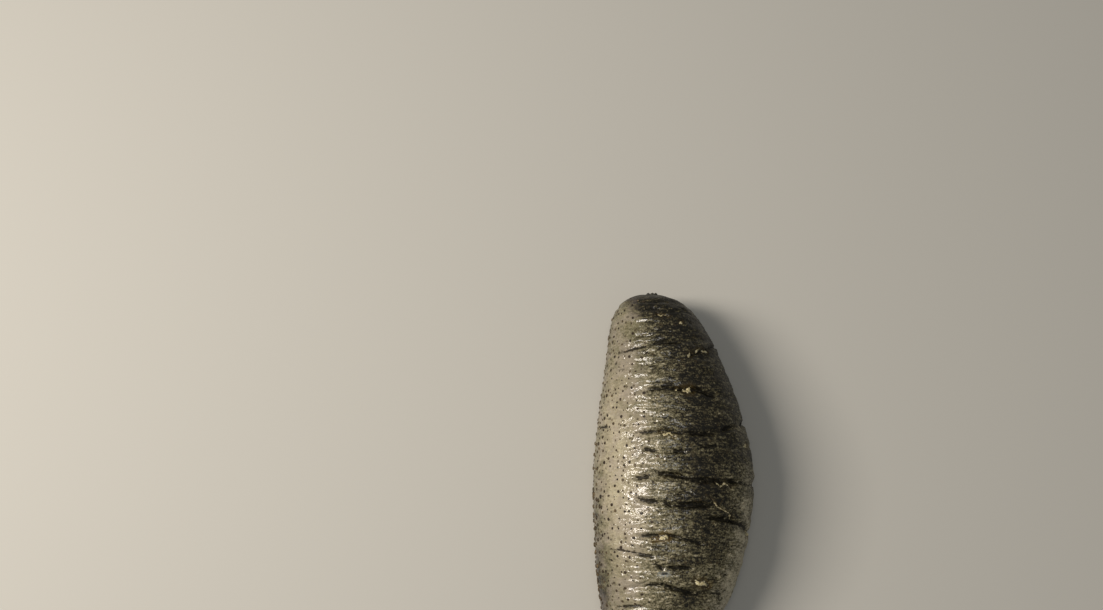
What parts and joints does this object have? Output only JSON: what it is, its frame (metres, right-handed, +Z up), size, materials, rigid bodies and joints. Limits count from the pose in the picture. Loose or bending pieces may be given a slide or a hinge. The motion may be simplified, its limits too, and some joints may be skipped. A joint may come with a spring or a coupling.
{
  "type": "sandfish sea cucumber",
  "caption": "Life-size still model of a sandfish sea cucumber, drawn up short, with a dark wrinkled back and pale dotted flank, lying on its flat sole",
  "frame": {"origin": "centre of the bounding box, at floor level under the flat sole", "axes": "+Y along the body from the mouth end to the vent end, +X to the animal's right as laid, seen from above with the vent away from the viewer, +Z up"},
  "size_m": [0.0702, 0.168, 0.0499],
  "materials": {
    "back_skin": "wet, granular, dark green-brown with black fold lines",
    "sole_skin": "wet, fine-grained, buff with small dark tube-foot dots",
    "end_skin": "wet, granular, dark back running into a paler underside",
    "lip_skin": "wet, soft, grey-brown",
    "tentacle_skin": "wet, soft, yellow-grey",
    "vent_skin": "wet, puckered, near black"
  },
  "bodies": {
    "root": {"head_end": "end_skin", "mouth_lip": "lip_skin", "tentacle_crown": "tentacle_skin", "back_front": "back_skin", "back_middle": "back_skin", "back_rear": "back_skin", "sole_front": "sole_skin", "sole_middle": "sole_skin", "sole_rear": "sole_skin", "tail_end": "end_skin", "vent_ring": "vent_skin"}
  },
  "joints": []
}
